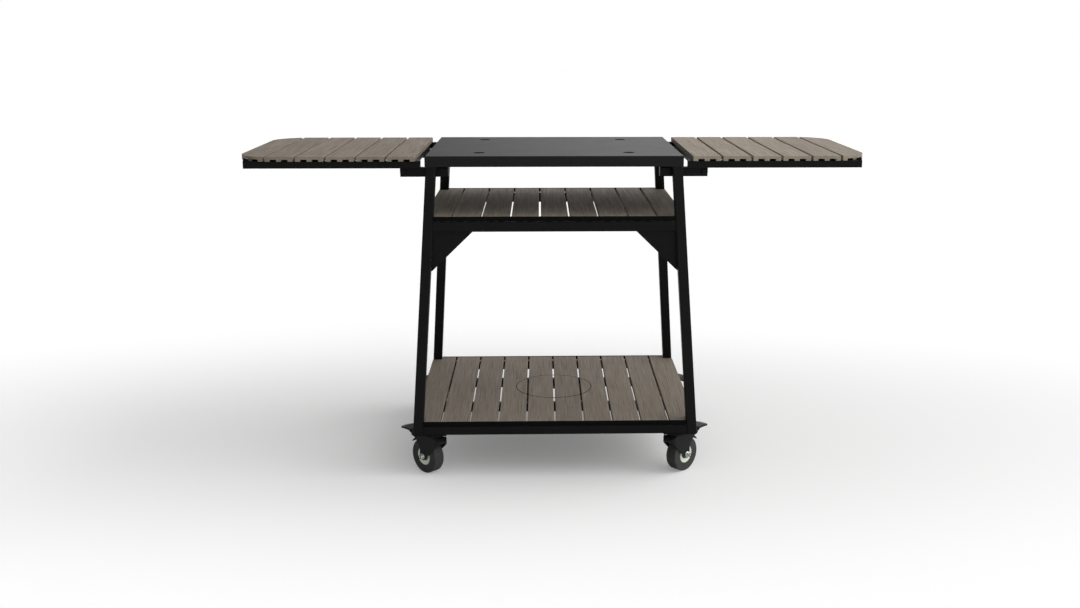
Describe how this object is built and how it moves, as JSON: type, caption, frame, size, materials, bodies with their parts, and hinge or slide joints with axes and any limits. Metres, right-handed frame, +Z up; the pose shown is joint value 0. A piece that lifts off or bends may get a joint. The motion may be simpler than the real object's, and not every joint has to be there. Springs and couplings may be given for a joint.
{
  "type": "outdoor pizza oven table",
  "caption": "Rolling outdoor table for a pizza oven: black steel frame, charcoal top, slatted drop leaves and shelves, braked swivel casters.",
  "frame": {"origin": "on the floor under the middle of the table", "axes": "+X along the length with both leaves up, +Y from front to rear, +Z up"},
  "size_m": [1.722, 0.6794, 0.9],
  "materials": {
    "frame_steel": "satin black powder coat",
    "top_steel": "matte charcoal powder coat",
    "leaf_board": "grey-brown grained board",
    "shelf_board": "grey-brown grained board",
    "cleat_wood": "dark brown wood",
    "bolt_steel": "zinc plated",
    "fork_steel": "black coated pressed steel",
    "tyre": "dark grey rubber",
    "hub_plastic": "pale grey-green moulded",
    "core_plastic": "dark moulded bearing core",
    "pedal_plastic": "black coated steel"
  },
  "bodies": {
    "frame": {"top_side_rail_right": "frame_steel", "top_side_rail_left": "frame_steel", "mid_rail_rear": "frame_steel", "mid_rail_front": "frame_steel", "mid_rail_right": "frame_steel", "mid_rail_left": "frame_steel", "bottom_rail_rear": "frame_steel", "bottom_rail_front": "frame_steel", "bottom_rail_right": "frame_steel", "bottom_rail_left": "frame_steel", "bottom_cross_rail_rear": "frame_steel", "bottom_cross_rail_front": "frame_steel", "mid_edge_strips": "frame_steel", "bottom_edge_strips": "frame_steel", "gussets": "frame_steel", "support_arms": "frame_steel", "caster_plates": "frame_steel", "leg_front_left": "frame_steel", "leg_front_right": "frame_steel", "leg_rear_left": "frame_steel", "leg_rear_right": "frame_steel", "table_top": "top_steel", "mid_slats": "shelf_board", "mid_end_slat_right": "shelf_board", "mid_end_slat_left": "shelf_board", "bottom_slats": "shelf_board", "bottom_end_slat_right": "shelf_board", "bottom_end_slat_left": "shelf_board", "pivot_bolts": "bolt_steel", "caster_plate_bolts": "bolt_steel"},
    "leaf_right": {"leaf_frame_right": "frame_steel", "leaf_slats_right": "leaf_board", "leaf_end_slat_right": "leaf_board"},
    "leaf_left": {"leaf_frame_left": "frame_steel", "leaf_slats_left": "leaf_board", "leaf_end_slat_left": "leaf_board"},
    "bottle_disc": {"disc_slats": "shelf_board", "disc_cleats": "cleat_wood", "disc_strap": "frame_steel"},
    "caster_front_left": {"caster_fork_front_left": "fork_steel"},
    "wheel_front_left": {"tyre_front_left": "tyre", "wheel_hub_front_left": "hub_plastic", "wheel_core_front_left": "core_plastic"},
    "pedal_front_left": {"brake_pedal_front_left": "pedal_plastic"},
    "caster_front_right": {"caster_fork_front_right": "fork_steel"},
    "wheel_front_right": {"tyre_front_right": "tyre", "wheel_hub_front_right": "hub_plastic", "wheel_core_front_right": "core_plastic"},
    "pedal_front_right": {"brake_pedal_front_right": "pedal_plastic"},
    "caster_rear_left": {"caster_fork_rear_left": "fork_steel"},
    "wheel_rear_left": {"tyre_rear_left": "tyre", "wheel_hub_rear_left": "hub_plastic", "wheel_core_rear_left": "core_plastic"},
    "pedal_rear_left": {"brake_pedal_rear_left": "pedal_plastic"},
    "caster_rear_right": {"caster_fork_rear_right": "fork_steel"},
    "wheel_rear_right": {"tyre_rear_right": "tyre", "wheel_hub_rear_right": "hub_plastic", "wheel_core_rear_right": "core_plastic"},
    "pedal_rear_right": {"brake_pedal_rear_right": "pedal_plastic"}
  },
  "joints": [
    {"name": "leaf_right_fold", "type": "hinge", "parent": "frame", "child": "leaf_right", "pos_m": [0.4125, 0, 0.853], "axis": [0, 1, 0], "range_deg": [0, 90]},
    {"name": "leaf_left_fold", "type": "hinge", "parent": "frame", "child": "leaf_left", "pos_m": [-0.4125, 0, 0.853], "axis": [0, -1, 0], "range_deg": [0, 90]},
    {"name": "bottle_disc_lift", "type": "slide", "parent": "frame", "child": "bottle_disc", "axis": [0, 0, 1], "range_m": [0, 0.15]},
    {"name": "caster_front_left_swivel", "type": "hinge", "parent": "frame", "child": "caster_front_left", "pos_m": [-0.345, -0.302, 0.1245], "axis": [0, 0, 1], "continuous": true},
    {"name": "wheel_front_left_spin", "type": "hinge", "parent": "caster_front_left", "child": "wheel_front_left", "pos_m": [-0.3637, -0.28394, 0.05], "axis": [-0.6947, -0.7193, 0], "continuous": true},
    {"name": "pedal_front_left_press", "type": "hinge", "parent": "caster_front_left", "child": "pedal_front_left", "pos_m": [-0.3896, -0.25893, 0.1095], "axis": [-0.6947, -0.7193, 0], "range_deg": [0, 8]},
    {"name": "caster_front_right_swivel", "type": "hinge", "parent": "frame", "child": "caster_front_right", "pos_m": [0.345, -0.302, 0.1245], "axis": [0, 0, 1], "continuous": true},
    {"name": "wheel_front_right_spin", "type": "hinge", "parent": "caster_front_right", "child": "wheel_front_right", "pos_m": [0.3637, -0.28394, 0.05], "axis": [-0.6947, 0.7193, 0], "continuous": true},
    {"name": "pedal_front_right_press", "type": "hinge", "parent": "caster_front_right", "child": "pedal_front_right", "pos_m": [0.3896, -0.25893, 0.1095], "axis": [-0.6947, 0.7193, 0], "range_deg": [0, 8]},
    {"name": "caster_rear_left_swivel", "type": "hinge", "parent": "frame", "child": "caster_rear_left", "pos_m": [-0.345, 0.302, 0.1245], "axis": [0, 0, 1], "continuous": true},
    {"name": "wheel_rear_left_spin", "type": "hinge", "parent": "caster_rear_left", "child": "wheel_rear_left", "pos_m": [-0.3637, 0.28394, 0.05], "axis": [0.6947, -0.7193, 0], "continuous": true},
    {"name": "pedal_rear_left_press", "type": "hinge", "parent": "caster_rear_left", "child": "pedal_rear_left", "pos_m": [-0.3896, 0.25893, 0.1095], "axis": [0.6947, -0.7193, 0], "range_deg": [0, 8]},
    {"name": "caster_rear_right_swivel", "type": "hinge", "parent": "frame", "child": "caster_rear_right", "pos_m": [0.345, 0.302, 0.1245], "axis": [0, 0, 1], "continuous": true},
    {"name": "wheel_rear_right_spin", "type": "hinge", "parent": "caster_rear_right", "child": "wheel_rear_right", "pos_m": [0.3637, 0.28394, 0.05], "axis": [0.6947, 0.7193, 0], "continuous": true},
    {"name": "pedal_rear_right_press", "type": "hinge", "parent": "caster_rear_right", "child": "pedal_rear_right", "pos_m": [0.3896, 0.25893, 0.1095], "axis": [0.6947, 0.7193, 0], "range_deg": [0, 8]}
  ]
}
